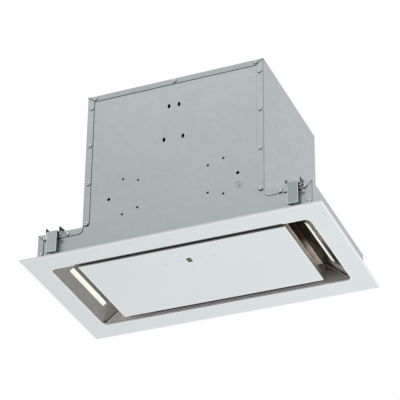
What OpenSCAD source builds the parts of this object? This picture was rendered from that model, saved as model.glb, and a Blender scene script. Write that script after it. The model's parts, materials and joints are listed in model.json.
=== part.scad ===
// Built-in range hood for a 60 cm wall cabinet, with perimeter intake.
// Origin: centre of the glass frame's underside. X is the width, -Y the pierced face, +Z up.

/* [Glass frame] */
// Width of the glass frame along X
frame_w = 521; // [490:1:560]
// Depth of the glass frame along Y
frame_d = 297; // [292:1:310]
// Thickness of the frame glass
glass_t = 3; // [2.5:0.5:4]
// Width of the glass band at each end of the intake opening
band_x = 35; // [34:0.5:37]
// Width of the glass band in front of and behind the intake opening
band_y = 42.5; // [41.5:0.5:44]
// Corner radius of the intake opening
opening_r = 10; // [6:1:14]

/* [Casing] */
// Thickness of the folded casing sheets
sheet_t = 1; // [0.8:0.1:1.2]
// Outer bend radius of the folded sheets
bend_r = 1.5; // [1.3:0.1:2]
// How far the glass stands out past each end of the casing
ledge_x = 21; // [19:0.5:23]
// Top of the low wide part above the frame's underside
skirt_top = 56; // [55:0.5:60]
// Width of each low shoulder beside the tall part of the casing
shoulder_w = 80; // [78:1:83]
// How far the glass stands out past the casing's front and rear
ledge_y = 20.5; // [19:0.5:22]
// Top of the casing above the frame's underside
box_top = 312; // [310:1:332]
// Width of the folded flanges that lap the front and rear sheets
flange_w = 12; // [11:0.5:13]
// Width of the flange at each lower side edge
side_strip_w = 10.5; // [9.5:0.5:11]
// Head radius of the casing screws
screw_head_r = 3.75; // [3.4:0.05:3.9]

/* [Centre panel] */
// Width of the air slot at each end of the panel
slot_x = 45; // [43:0.5:47]
// Width of the air slot in front of and behind the panel
slot_y = 13; // [12.5:0.5:15]
// Thickness of the panel glass
panel_glass_t = 4; // [3:0.5:5]
// Height of the steel tray's top edge
tray_top = 18; // [17:0.5:19]
// Distance of each hinge and catch from the panel's end
hinge_in = 30.5; // [26:0.5:36]
// Radius of the hinge pins
hinge_pin_r = 2; // [1.8:0.1:2.2]

/* [Lights and filter] */
// Horizontal run of the sloping light plates
slope_run = 46.5; // [45:0.5:48]
// Rise of the sloping light plates
slope_rise = 36; // [35:0.5:37]
// Length of each light strip
led_l = 131.5; // [110:0.5:150]
// Width of each light strip
led_w = 7.4; // [6:0.1:9]
// Distance of the light strip's middle up the slope
led_up = 24.2; // [22:0.2:30]
// Thickness of the grease filter
filter_h = 9; // [8:0.5:10]
// Width of the grease filter's border
filter_border = 15; // [14:0.5:17]

/* [Blower] */
// Depth of the fan's axis below the casing's top
fan_drop = 145; // [142:1:148]
// Space between the scroll and the rear of the casing
scroll_back = 16; // [15:0.5:20]
// Length of the fan wheel
fan_l = 104; // [96:1:106]
// Radius of the motor
motor_r = 40; // [34:1:42]
// Radius of the rotating shaft
shaft_r = 4; // [3.5:0.5:5]

/* [Exhaust] */
// Outer radius of the exhaust spigot, for a 150 mm duct
spigot_r = 74.5; // [72:0.5:75]
// Height of the spigot above the casing
spigot_h = 30; // [26:1:34]
// Radius of the flap pin
flap_pin_r = 1.5; // [1.2:0.1:1.8]

/* [Mounting clips] */
// Distance of each clip's middle from the casing's end
clip_in = 29.9; // [28.5:0.2:32.5]
// Width of each clip
clip_w = 18.4; // [17.6:0.2:19]
// Height of the clip's lower edge
clip_bottom = 15; // [14:0.5:18]
// Height of the clip's upper fold
clip_top = 53.7; // [53.2:0.1:54.2]
// How far the clip's front stands off the casing
clip_reach = 10; // [9.4:0.2:11]

/* [Hidden] */
$fn = 48;
over = 1;            // overrun of every cut
fit_gap = 0.05;      // running clearance of shafts and pins
seat_gap = 0.3;      // clearance between separate pieces
opening_w = frame_w - 2 * band_x;
opening_d = frame_d - 2 * band_y;
casing_z = glass_t + sheet_t;
casing_d = frame_d - 2 * ledge_y;
face_y = casing_d / 2;
skirt_w = frame_w - 2 * ledge_x;
skirt_x = skirt_w / 2;
box_x = skirt_x - shoulder_w;
step_under = skirt_top - sheet_t;

// Backing plate of the glass frame, and the funnel's foot on it
backing_margin = 8;
foot_x = opening_w / 2;
wall_y = opening_d / 2;
foot_w = 9;

// Sloping light plates
slope_angle = atan(slope_rise / slope_run);
slope_len = sqrt(slope_run * slope_run + slope_rise * slope_rise);
slope_top_x = foot_x - slope_run;
slope_top_z = casing_z + slope_rise;
led_corner_r = 1.5;
led_rim = 2;
lens_t = 1.2;
board_t = 1.6;
led_board_w = 14;
chip_w = 3;
chip_t = 0.7;
chip_pitch = 9;
chip_count = floor(led_l / chip_pitch);

// Front sheet: places and radii of its holes, as seen in the photograph
slot_r = 2.5;
slot_rise = 3.4;
slot_rows = [[9, 257.8], [17, 193]];
small_hole_r = 2.1;
small_holes = [[88.8, 132.7], [61.8, 125], [61.8, 73], [88.8, 65.4]];
wide_hole_r = 3;
wide_hole_in = 45.8;
wide_hole_z = 99;
earth_r = 6.4;
earth_in = 44.1;
earth_z = 76.2;
earth_line = 0.6;
earth_t = 0.5;
earth_bars = [7, 4.6, 2.2];
earth_pitch = 1.8;

// Casing screws: shank, cross recess and places
shank_r = 1.5;
shank_l = 8;
shank_gap = 0.1;
head_h = 2.2;
cross_w = 0.9;
cross_l = 4.4;
cross_depth = 1.2;
column_screw_in = 7;
column_screw_up = 4.3;
column_shares = [0.31640625, 0.609375, 0.90390625];
column_screw_z = concat([skirt_top + column_screw_up],
                        [for (k = column_shares) skirt_top + (box_top - skirt_top) * k]);
top_screw_down = 5.3;
top_screw_in = 14;
inner_screw_share = 0.33125;
outer_screw_in = 13.5;
skirt_screw_down = 7.6;
strip_screw_in = 5.5;
strip_screw_z = 18.5;
skirt_screws = [[box_x + (skirt_x - box_x) * inner_screw_share, skirt_top - skirt_screw_down],
                [skirt_x - outer_screw_in, skirt_top - skirt_screw_down]];
strip_screw = [skirt_x - strip_screw_in, strip_screw_z];
mitre_gap = 0.5;
notch_r = 9;

// Centre panel
panel_w = opening_w - 2 * slot_x;
panel_d = opening_d - 2 * slot_y;
hinge_x = panel_w / 2 - hinge_in;
panel_lift = 2.3;
tray_inset = 1.5;
tray_t = 0.8;
tray_floor = panel_lift + panel_glass_t;
tray_x = panel_w / 2 - tray_inset;
tray_y = panel_d / 2 - tray_inset;
tray_cut = 8;
tray_end_h = 3;
rear_flange_top = 11;
rear_flange_gap = 20;
rear_flange_x = hinge_x - rear_flange_gap;
control_in = 43;
control_y = control_in - panel_d / 2;
window_w = 108;
window_d = 28;
board_inset = 1.5;
display_w = 8;
display_d = 12.6;
display_x = -0.8;
ring_r = 3.2;
ring_line = 0.6;
ring_depth = 0.3;
ring_near = 18;
ring_far = 42;

// Panel hinges
pivot_in = 2.5;
pivot_y = tray_y - pivot_in;
pivot_z = 13;
knuckle_r = 3.5;
ear_t = 3;
cheek_t = 1.5;
arm_base_t = 1;
arm_base_d = 20;
cheek_d = 8.5;
pin_head_r = 3.2;
pin_head_t = 1.2;
ear_rise = 15;
ear_bar = 7;
bracket_t = 1.2;
bracket_w = 18;
bracket_h = 17;

// Magnetic catches
catch_w = 22;
catch_d = 22;
catch_h = 10;
catch_wall = 2;
catch_lift = 0.4;
magnet_h = 6;
striker_t = 1.2;
striker_w = 20;
striker_d = 7;
striker_foot = 9;

// Grease filter
filter_t = 1;
filter_lift = 0.5;
filter_side_gap = 1;
filter_end_gap = 0.8;
filter_z = slope_top_z + filter_lift;
filter_x = slope_top_x - filter_side_gap;
filter_y = wall_y - filter_end_gap;
mesh_bar = 2;
mesh_h = 5;
mesh_nx = 20;
mesh_ny = 10;
tab_in = 78;
tab_x = filter_x - tab_in;
tab_w = 16;
tab_t = 1.5;
tab_l = 3.5;
latch_w = 32;
latch_d = 13;
latch_t = 2.5;
latch_travel = 6;
tongue_w = 16;
tongue_l = 5.5;
tongue_gap = 0.4;
grip_w = 20;
grip_t = 3;
grip_drop = 4.5;

// Blower
fan_z = box_top - fan_drop;
scroll_growth = 26;
scroll_y = 14;
fan_r = face_y - scroll_back - scroll_y - scroll_growth;
scroll_r = fan_r + scroll_growth;
plenum_h = 41;
plenum_z = box_top - sheet_t - plenum_h;
scroll_under = 1;
scroll_z = plenum_z - scroll_under - scroll_r;
housing_t = 2;
housing_side_gap = 8;
housing_x = fan_l / 2 + housing_side_gap;
inlet_overlap = 14;
inlet_r = fan_r - inlet_overlap;
inlet_l = 6;
outlet_past = 20;
outlet_w = scroll_r + outlet_past;
plenum_rim = 5.5;
plenum_side = spigot_r + plenum_rim;
blade_count = 24;
blade_t = 1.2;
blade_d = 12;
blade_turn = 32;
wheel_ring = 3;
hub_r = 13;
hub_l = 30;
disc_t = 2;
motor_stand = 16;
motor_x = housing_x + motor_stand;
motor_end_gap = 21.5;
motor_l = box_x - motor_end_gap - motor_x;
plate_t = 2;
leg_w = 10;
leg_t = 4;
leg_out = 6;
leg_r = inlet_r + leg_out;
bearing_wall = 4;
bearing_r = shaft_r + bearing_wall;
shaft_tail = 6;
cap_r = 15;
cap_l = 58;
cap_in = 38;
cap_z = 102;
cap_lug_r = 5;
cap_lug_l = 6;

// Exhaust spigot and its flaps
spigot_t = 2;
spigot_bore = spigot_r - spigot_t;
flange_rim = 11.5;
flange_r = spigot_r + flange_rim;
flange_t = 2;
spigot_screw_r = 1.6;
spigot_screw_out = 6;
spigot_screw_at = spigot_r + spigot_screw_out;
flap_rise = 12;
flap_z = box_top + flap_rise;
flap_t = 1.2;
flap_gap = 2;
seat_w = 4.5;
seat_t = 2.5;
knuckle_wall = 1.3;
flap_knuckle_r = flap_pin_r + knuckle_wall;
edge_gap = 0.4;
flap_edge = flap_knuckle_r + edge_gap;
knuckle_l = 20;
outer_knuckle = 30;
inner_knuckle = 5;
pin_inset = 0.5;

// Electrics
control_h = 100;
control_end_gap = 73;
control_w = casing_d - 2 * control_end_gap;
control_d = 30;
control_z = 102;
control_wall = 2;
pcb_t = 1.6;
pcb_in = 8;
relay = [12, 18, 22];
driver_size = [30, 120, 20];
gland_r = 8;
gland_bore = 4;
gland_h = 14;
gland_hex_r = 11.5;
gland_hex_h = 5;
gland_in_x = 39.5;
gland_in_y = 36;
gland_x = gland_in_x - box_x;
gland_y = face_y - gland_in_y;
nut_h = 4;

// Mounting clips
clip_x = skirt_x - clip_in;
clip_t = 1.2;
clip_lip = 5;
clip_hook = 8.5;
clip_pivot_out = 4.6;
clip_pivot_z = 40;
clip_pin_past = 5;
clip_pin_r = 1.5;
clip_lug_r = 2.8;
clip_lug_t = 1.2;
clip_lug_u = 6;
clip_cheek_t = 0.8;
barb_out = 3.5;
barb_front = 6.5;
barb_root = 1.5;
barb_reach = 11.5;
barb_h = 9.5;
barb_rise = 2.5;
barb_clear = 2.2;
clip_base_t = 1;
clip_base_w = 12;
clip_base_h = 7.5;
clip_ear_u = 4.2;
clip_ear_t = 1;
coil_r = 2.7;
coil_gap = 0.3;
spring_leg = 0.8;
spring_leg_l = 10;
spring_foot_l = 5;

// Box between two opposite corners
module block(low, high) {
    translate(low) cube(high - low);
}

// Rectangle with round corners, centred
module round_rect(w, d, r) {
    square([w - 2 * r, d], center = true);
    square([w, d - 2 * r], center = true);
    for (x = [-1, 1], y = [-1, 1])
        translate([x * (w / 2 - r), y * (d / 2 - r)]) circle(r);
}

// Rod along X between two places
module rod_x(r, x0, x1, y, z) {
    translate([x0, y, z]) rotate([0, 90, 0]) cylinder(r = r, h = x1 - x0);
}

// Extrudes an outline drawn in (Y, Z) along X
module along_x(x0, x1) {
    translate([x0, 0, 0]) rotate([90, 0, 90]) linear_extrude(x1 - x0) children();
}

// Extrudes an outline drawn in (X, Z) along Y
module along_y(y0, y1) {
    translate([0, y1, 0]) rotate([90, 0, 0]) linear_extrude(y1 - y0) children();
}

module both_sides() {
    children();
    mirror([1, 0, 0]) children();
}

module front_and_rear() {
    children();
    mirror([0, 1, 0]) children();
}

// Every screw place on one face, as [x, z]
screw_places = concat(
    [for (s = [-1, 1], z = column_screw_z) [s * (box_x - column_screw_in), z]],
    [for (x = [top_screw_in - box_x, 0, box_x - top_screw_in]) [x, box_top - top_screw_down]],
    [for (s = [-1, 1], p = concat(skirt_screws, [strip_screw])) [s * p[0], p[1]]]
);

// Clearance holes of the screws through one face of the casing
module screw_holes() {
    for (p = screw_places)
        translate([p[0], -face_y - over, p[1]]) rotate([-90, 0, 0])
            cylinder(r = shank_r + shank_gap, h = 2 * sheet_t + 2 * over);
}

// Glass frame

module glass_frame() color("whitesmoke")
    difference() {
        translate([-frame_w / 2, -frame_d / 2, 0]) cube([frame_w, frame_d, glass_t]);
        translate([0, 0, -over]) linear_extrude(glass_t + 2 * over)
            round_rect(opening_w, opening_d, opening_r);
    }

// Steel sheet bonded to the glass, with the same opening
module frame_backing() color("darkgray")
    translate([0, 0, glass_t])
        linear_extrude(sheet_t)
            difference() {
                square([frame_w - 2 * backing_margin, frame_d - 2 * backing_margin], center = true);
                round_rect(opening_w, opening_d, opening_r);
            }

// Funnel behind the opening

// Long wall of the funnel on the front side
module funnel_wall() {
    block([-foot_x, -wall_y - sheet_t, casing_z], [foot_x, -wall_y, step_under]);
    block([-foot_x, -wall_y - foot_w, casing_z], [foot_x, -wall_y, casing_z + sheet_t]);
    block([-slope_top_x, -face_y + 2 * sheet_t, step_under - sheet_t],
          [slope_top_x, -wall_y, step_under]);
}

// The front wall has a slot for the filter latch
module funnel_wall_front() color("rosybrown")
    difference() {
        funnel_wall();
        block([-tongue_w / 2 - tongue_gap, -wall_y - sheet_t - over, latch_z - tongue_gap],
              [tongue_w / 2 + tongue_gap, -wall_y + over, latch_z + latch_t + tongue_gap]);
    }

// The rear wall has two slots for the filter's tabs
module funnel_wall_rear() color("rosybrown")
    difference() {
        mirror([0, 1, 0]) funnel_wall();
        both_sides()
            block([tab_x - tab_w / 2 - tongue_gap, wall_y - over, tab_z - tongue_gap],
                  [tab_x + tab_w / 2 + tongue_gap, wall_y + sheet_t + over,
                   tab_z + tab_t + tongue_gap]);
    }

// Local frame of the right slope: -X runs up the slope, +Z points out behind it
module on_slope() {
    translate([foot_x, 0, casing_z]) rotate([0, slope_angle, 0]) children();
}

module led_outline(grow) {
    translate([-led_up, 0])
        round_rect(led_w + 2 * grow, led_l + 2 * grow, led_corner_r + grow);
}

module light_plate_right() color("gray") {
    half = wall_y - seat_gap;
    difference() {
        on_slope() block([-slope_len, -half, 0], [0, half, sheet_t]);
        on_slope() translate([0, 0, -over]) linear_extrude(sheet_t + 2 * over) led_outline(0);
    }
    block([foot_x, -half, casing_z], [foot_x + foot_w, half, casing_z + sheet_t]);
    block([slope_top_x, -half, slope_top_z], [slope_top_x + sheet_t, half, step_under]);
    block([slope_top_x, -half, step_under - sheet_t],
          [slope_top_x + foot_w, half, step_under]);
}

module light_plate_left() mirror([1, 0, 0]) light_plate_right();

// Diffuser that fills the slot and has a rim behind the sheet
module led_lens_right() color("ivory")
    on_slope() {
        linear_extrude(sheet_t) led_outline(0);
        translate([0, 0, sheet_t]) linear_extrude(lens_t) led_outline(led_rim);
    }

module led_lens_left() mirror([1, 0, 0]) led_lens_right();

module led_board_right() color("darkgreen")
    on_slope() {
        translate([-led_up - led_board_w / 2, -led_l / 2 - led_rim, sheet_t + lens_t])
            cube([led_board_w, led_l + 2 * led_rim, board_t]);
        for (i = [0 : chip_count - 1])
            translate([-led_up - chip_w / 2, (i - (chip_count - 1) / 2) * chip_pitch - chip_w / 2,
                       sheet_t + lens_t + board_t])
                cube([chip_w, chip_w, chip_t]);
    }

module led_board_left() mirror([1, 0, 0]) led_board_right();

// Casing

// T-shaped front sheet without its holes
module tee_sheet() {
    block([-box_x + sheet_t + seat_gap, -face_y + sheet_t, casing_z],
          [box_x - sheet_t - seat_gap, -face_y + 2 * sheet_t, box_top - sheet_t - seat_gap]);
    block([-skirt_x + sheet_t + seat_gap, -face_y + sheet_t, casing_z],
          [skirt_x - sheet_t - seat_gap, -face_y + 2 * sheet_t, step_under - seat_gap]);
}

// Upright slot through the front sheet
module upright_slot(x, z) {
    along_y(-face_y, -face_y + 2 * sheet_t + over) {
        translate([x, z - slot_rise / 2]) circle(slot_r);
        translate([x, z + slot_rise / 2]) circle(slot_r);
        translate([x - slot_r, z - slot_rise / 2]) square([2 * slot_r, slot_rise]);
    }
}

module face_hole(x, z, r) {
    translate([x, -face_y, z]) rotate([-90, 0, 0]) cylinder(r = r, h = 2 * sheet_t + over);
}

// Raised ring and sign that mark the earth point
module earth_mark() {
    y1 = -face_y + sheet_t;
    translate([box_x - earth_in, 0, earth_z]) {
        along_y(y1 - earth_t, y1)
            difference() {
                circle(earth_r);
                circle(earth_r - earth_line);
            }
        block([-earth_line / 2, y1 - earth_t, 0], [earth_line / 2, y1, earth_r - earth_line]);
        for (i = [0 : len(earth_bars) - 1])
            block([-earth_bars[i] / 2, y1 - earth_t, -i * earth_pitch - earth_line],
                  [earth_bars[i] / 2, y1, -i * earth_pitch]);
    }
}

module front_panel() color("silver") {
    difference() {
        tee_sheet();
        screw_holes();
        for (s = [-1, 1]) {
            for (p = slot_rows) upright_slot(s * p[0], p[1]);
            for (p = small_holes) face_hole(s * p[0], p[1], small_hole_r);
            face_hole(s * (box_x - wide_hole_in), wide_hole_z, wide_hole_r);
        }
    }
    earth_mark();
}

module rear_panel() color("silver")
    mirror([0, 1, 0])
        difference() {
            tee_sheet();
            screw_holes();
        }

// Plan view of a folded upright: its web at +x and a flange at each end
module upright_outline(x, flange) {
    difference() {
        intersection() {
            translate([x - casing_d / 2, 0]) round_rect(casing_d, casing_d, bend_r);
            translate([x - flange, -casing_d / 2]) square([flange, casing_d]);
        }
        translate([x - casing_d / 2, 0])
            round_rect(casing_d - 2 * sheet_t, casing_d - 2 * sheet_t, bend_r - sheet_t);
    }
}

// Section of a folded top: its web at height z and a flange down each face
module top_outline(z, flange) {
    difference() {
        intersection() {
            translate([0, z - casing_d / 2]) round_rect(casing_d, casing_d, bend_r);
            translate([-casing_d / 2, z - flange]) square([casing_d, flange]);
        }
        translate([0, z - casing_d / 2])
            round_rect(casing_d - 2 * sheet_t, casing_d - 2 * sheet_t, bend_r - sheet_t);
    }
}

// Wedge that takes the flanges away beyond a mitre line rising to the corner (x, z)
module mitre_above(x, z, run, rise, shift) {
    reach = run + 2 * bend_r;
    front_and_rear()
        along_y(-face_y - over, -face_y + sheet_t)
            translate([x, z + shift])
                polygon([[-reach, -reach * rise / run], [0, 0], [over, over * rise / run],
                         [over, 2 * reach], [-reach, 2 * reach]]);
}

// Wedge that takes the flanges away below the same mitre line
module mitre_below(x, z, run, rise, shift) {
    reach = 2 * run;
    front_and_rear()
        along_y(-face_y - over, -face_y + sheet_t)
            translate([x, z + shift])
                polygon([[-run, -rise], [0, 0], [over, over * rise / run],
                         [over, -reach], [-run, -reach]]);
}

// Rounds the lower inner corner of a flange
module corner_notch(x, z, r) {
    front_and_rear()
        along_y(-face_y - over, -face_y + sheet_t + over)
            translate([x, z])
                difference() {
                    square(r);
                    translate([r, r]) circle(r);
                }
}

module side_panel_right() color("silver") {
    column_foot = skirt_top + sheet_t;
    strip_rise = flange_w - mitre_gap;
    difference() {
        union() {
            difference() {
                translate([0, 0, step_under])
                    linear_extrude(box_top - sheet_t - step_under) upright_outline(box_x, flange_w);
                mitre_above(box_x, box_top, flange_w, flange_w - sheet_t, -mitre_gap);
                corner_notch(box_x - flange_w, column_foot, flange_w / 3);
                front_and_rear()
                    block([box_x - flange_w - over, -face_y - over, step_under - over],
                          [box_x - sheet_t, -face_y + sheet_t, column_foot]);
            }
            difference() {
                translate([0, 0, casing_z])
                    linear_extrude(skirt_top - casing_z) upright_outline(skirt_x, side_strip_w);
                mitre_above(skirt_x, skirt_top, side_strip_w, flange_w - sheet_t, -mitre_gap);
            }
            difference() {
                along_x(box_x - sheet_t, skirt_x) top_outline(skirt_top, flange_w);
                mitre_below(skirt_x, skirt_top, side_strip_w, flange_w - sheet_t, 0);
                corner_notch(box_x - sheet_t - over, skirt_top - flange_w, notch_r + over);
            }
        }
        front_and_rear() screw_holes();
    }
}

module side_panel_left() mirror([1, 0, 0]) side_panel_right();

module top_panel() color("silver")
    difference() {
        along_x(-box_x, box_x) top_outline(box_top, flange_w - sheet_t);
        both_sides() mitre_below(box_x, box_top, flange_w, flange_w - sheet_t, 0);
        front_and_rear() screw_holes();
        translate([0, 0, box_top - sheet_t - over])
            cylinder(r = spigot_bore, h = sheet_t + 2 * over);
        at_spigot_screws() translate([0, 0, box_top - sheet_t - over])
            cylinder(r = spigot_screw_r, h = sheet_t + 2 * over);
        translate([gland_x, gland_y, box_top - sheet_t - over])
            cylinder(r = gland_r, h = sheet_t + 2 * over);
    }

// Pan head screw with a cross recess, its head's seat at the origin, pointing to +Y
module pan_screw() {
    rotate([-90, 0, 0]) {
        translate([0, 0, -over / 4]) cylinder(r = shank_r, h = shank_l + over / 4);
        difference() {
            rotate([180, 0, 0]) rotate_extrude()
                intersection() {
                    square([screw_head_r, head_h]);
                    translate([0, head_h - screw_head_r * 2]) circle(screw_head_r * 2);
                }
            for (a = [0, 90])
                rotate(a) translate([-cross_l / 2, -cross_w / 2, -head_h - over])
                    cube([cross_l, cross_w, cross_depth + over]);
        }
    }
}

module casing_screws_front() color("gainsboro")
    for (p = screw_places) translate([p[0], -face_y, p[1]]) pan_screw();

module casing_screws_rear() color("gainsboro")
    mirror([0, 1, 0])
        for (p = screw_places) translate([p[0], -face_y, p[1]]) pan_screw();

// Hinged centre panel

module ring_grooves() {
    for (s = [-1, 1], x = [ring_near, ring_far])
        translate([display_x + s * x, control_y, panel_lift])
            difference() {
                cylinder(r = ring_r, h = ring_depth);
                translate([0, 0, -over]) cylinder(r = ring_r - ring_line, h = ring_depth + 2 * over);
            }
}

module panel_glass() color("white")
    difference() {
        block([-panel_w / 2, -panel_d / 2, panel_lift], [panel_w / 2, panel_d / 2, tray_floor]);
        block([display_x - display_w / 2, control_y - display_d / 2, 0],
              [display_x + display_w / 2, control_y + display_d / 2, tray_floor + over]);
        ring_grooves();
    }

module display_window() color("black")
    block([display_x - display_w / 2, control_y - display_d / 2, panel_lift],
          [display_x + display_w / 2, control_y + display_d / 2, tray_floor]);

module touch_rings() color("lightgray") ring_grooves();

// Side flange outline in (Y, Z), with its rear end cut at a slant
module tray_side_outline() {
    polygon([[-tray_y, tray_floor], [tray_y, tray_floor], [tray_y, tray_floor + tray_end_h],
             [tray_y - tray_cut, tray_top], [-tray_y, tray_top]]);
}

module panel_tray() color("tan") {
    difference() {
        block([-tray_x, -tray_y, tray_floor], [tray_x, tray_y, tray_floor + tray_t]);
        block([display_x - window_w / 2, control_y - window_d / 2, tray_floor - over],
              [display_x + window_w / 2, control_y + window_d / 2, tray_floor + tray_t + over]);
    }
    along_x(tray_x - tray_t, tray_x) tray_side_outline();
    along_x(-tray_x, -tray_x + tray_t) tray_side_outline();
    block([-tray_x, -tray_y, tray_floor], [tray_x, -tray_y + tray_t, tray_top]);
    block([-rear_flange_x, tray_y - tray_t, tray_floor],
          [rear_flange_x, tray_y, rear_flange_top]);
}

module touch_board() color("darkgreen") {
    w = window_w - 2 * board_inset;
    d = window_d - 2 * board_inset;
    translate([display_x, control_y, tray_floor + board_t / 2])
        cube([w, d, board_t], center = true);
    block([display_x - relay[1] / 2, control_y - chip_w, tray_floor + board_t],
          [display_x + relay[1] / 2, control_y + chip_w, tray_floor + board_t + chip_w]);
}

// Two cheeks on a foot, which carry one hinge ear between them
module hinge_arm() {
    inner = ear_t / 2 + seat_gap;
    foot = tray_floor + tray_t;
    translate([hinge_x, 0, 0]) {
        block([-inner - cheek_t, pivot_y - arm_base_d + knuckle_r, foot],
              [inner + cheek_t, pivot_y + knuckle_r, foot + arm_base_t]);
        for (s = [-1, 1])
            difference() {
                along_x(min(s * inner, s * (inner + cheek_t)), max(s * inner, s * (inner + cheek_t)))
                    union() {
                        translate([pivot_y, pivot_z]) circle(knuckle_r);
                        translate([pivot_y - knuckle_r, foot])
                            square([2 * knuckle_r, pivot_z - foot]);
                    }
                rod_x(hinge_pin_r + fit_gap, -cheek_d, cheek_d, pivot_y, pivot_z);
            }
    }
}

module panel_hinge_arms() color("gray") both_sides() hinge_arm();

// Gooseneck ear on a foot that is fixed to the rear funnel wall
module hinge_bracket() {
    bar_z = pivot_z + ear_rise - ear_bar;
    translate([hinge_x, 0, 0]) {
        difference() {
            along_x(-ear_t / 2, ear_t / 2)
                union() {
                    translate([pivot_y, pivot_z]) circle(knuckle_r);
                    translate([pivot_y - knuckle_r, pivot_z])
                        square([2 * knuckle_r, ear_rise]);
                    translate([pivot_y - knuckle_r, bar_z])
                        square([wall_y - pivot_y + knuckle_r, ear_bar]);
                }
            rod_x(hinge_pin_r, -cheek_d, cheek_d, pivot_y, pivot_z);
        }
        block([-bracket_w / 2, wall_y - bracket_t, bar_z - ear_t],
              [bracket_w / 2, wall_y, bar_z - ear_t + bracket_h]);
    }
}

module hinge_brackets() color("gray") both_sides() hinge_bracket();

module hinge_pins() color("gainsboro")
    both_sides() {
        outer = ear_t / 2 + seat_gap + cheek_t + seat_gap;
        rod_x(hinge_pin_r, hinge_x - outer, hinge_x + outer, pivot_y, pivot_z);
        rod_x(pin_head_r, hinge_x + outer, hinge_x + outer + pin_head_t, pivot_y, pivot_z);
    }

// Catch body on the front funnel wall, open below for its magnet
catch_z = tray_top + catch_lift;

module catch_housings() color("dimgray")
    both_sides()
        translate([hinge_x, -wall_y, catch_z])
            difference() {
                translate([-catch_w / 2, 0, 0]) cube([catch_w, catch_d, catch_h]);
                translate([-catch_w / 2 + catch_wall, catch_wall, -over])
                    cube([catch_w - 2 * catch_wall, catch_d - 2 * catch_wall, magnet_h + over]);
            }

module catch_magnets() color("black")
    both_sides()
        translate([hinge_x - catch_w / 2 + catch_wall, -wall_y + catch_wall, catch_z])
            cube([catch_w - 2 * catch_wall, catch_d - 2 * catch_wall, magnet_h]);

// Stepped steel strip that the magnet holds
module panel_strikers() color("lightgray")
    both_sides()
        translate([hinge_x - striker_w / 2, 0, 0]) {
            top = tray_top - striker_t;
            front = -tray_y + tray_t;
            back = front + striker_d;
            foot = tray_floor + tray_t;
            block([0, front, top], [striker_w, back, tray_top]);
            block([0, back - striker_t, foot], [striker_w, back, tray_top]);
            block([0, back - striker_t, foot], [striker_w, back + striker_foot, foot + striker_t]);
        }

// Grease filter

latch_z = filter_z + filter_t + seat_gap;
tab_z = filter_z + filter_h / 2 - tab_t / 2;

module filter_frame() color("tan") {
    difference() {
        block([-filter_x, -filter_y, filter_z], [filter_x, filter_y, filter_z + filter_h]);
        block([-filter_x + filter_border, -filter_y + filter_border, filter_z - over],
              [filter_x - filter_border, filter_y - filter_border, filter_z + filter_h + over]);
        block([-filter_x + filter_t, -filter_y + filter_t, filter_z + filter_t],
              [filter_x - filter_t, filter_y - filter_t, filter_z + filter_h - filter_t]);
        block([-tongue_w / 2 - tongue_gap, -filter_y - over, latch_z - tongue_gap],
              [tongue_w / 2 + tongue_gap, -filter_y + filter_t + over,
               latch_z + latch_t + tongue_gap]);
        block([-grip_w / 2 - tongue_gap, -latch_back - grip_t - tongue_gap, filter_z - over],
              [grip_w / 2 + tongue_gap, -filter_y + filter_border + over, filter_z + filter_t + over]);
    }
    both_sides()
        block([tab_x - tab_w / 2, filter_y - filter_t, tab_z],
              [tab_x + tab_w / 2, filter_y + tab_l, tab_z + tab_t]);
}

// Two crossed layers of bars, left open around the latch
module filter_mesh() color("lightgray") {
    w = filter_x - filter_t - seat_gap;
    d = filter_y - filter_t - seat_gap;
    z0 = filter_z + filter_h / 2 - mesh_h / 2;
    difference() {
        union() {
            for (i = [0 : mesh_nx]) {
                x = -w + (2 * w - mesh_bar) * i / mesh_nx;
                block([x, -d, z0], [x + mesh_bar, d, z0 + mesh_h / 2]);
            }
            for (i = [0 : mesh_ny]) {
                y = -d + (2 * d - mesh_bar) * i / mesh_ny;
                block([-w, y, z0 + mesh_h / 2 - mesh_bar / 2], [w, y + mesh_bar, z0 + mesh_h]);
            }
        }
        block([-latch_w / 2 - mesh_bar, -filter_y, filter_z],
              [latch_w / 2 + mesh_bar, -latch_back + latch_d + latch_travel,
               filter_z + filter_h]);
    }
}

// Front edge of the latch slide, measured from the middle
latch_back = filter_y - filter_t - seat_gap;

module filter_latch() color("black") {
    block([-latch_w / 2, -latch_back, latch_z],
          [latch_w / 2, -latch_back + latch_d, latch_z + latch_t]);
    block([-tongue_w / 2, -latch_back - tongue_l, latch_z],
          [tongue_w / 2, -latch_back, latch_z + latch_t]);
    block([-grip_w / 2, -latch_back + latch_d / 2 - grip_t, latch_z - grip_drop - filter_t],
          [grip_w / 2, -latch_back + latch_d / 2, latch_z + latch_t / 2]);
}

// Blower

module scroll_outline(shrink) {
    translate([scroll_y, scroll_z]) circle(scroll_r - shrink);
    translate([scroll_y + scroll_r - outlet_w + shrink, scroll_z])
        square([outlet_w - 2 * shrink, plenum_z - scroll_z + (shrink > 0 ? over : 0)]);
}

module blower_half_right() color("slategray")
    difference() {
        union() {
            along_x(0, housing_x) scroll_outline(0);
            rod_x(inlet_r + housing_t, housing_x, housing_x + inlet_l, 0, fan_z);
        }
        along_x(-over, housing_x - housing_t) scroll_outline(housing_t);
        rod_x(inlet_r, housing_x - housing_t - over, housing_x + inlet_l + over, 0, fan_z);
    }

module blower_half_left() mirror([1, 0, 0]) blower_half_right();

// The four screw places round the spigot
module at_spigot_screws() {
    for (a = [0 : 3]) rotate(a * 90 + 45) translate([spigot_screw_at, 0, 0]) children();
}

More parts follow.
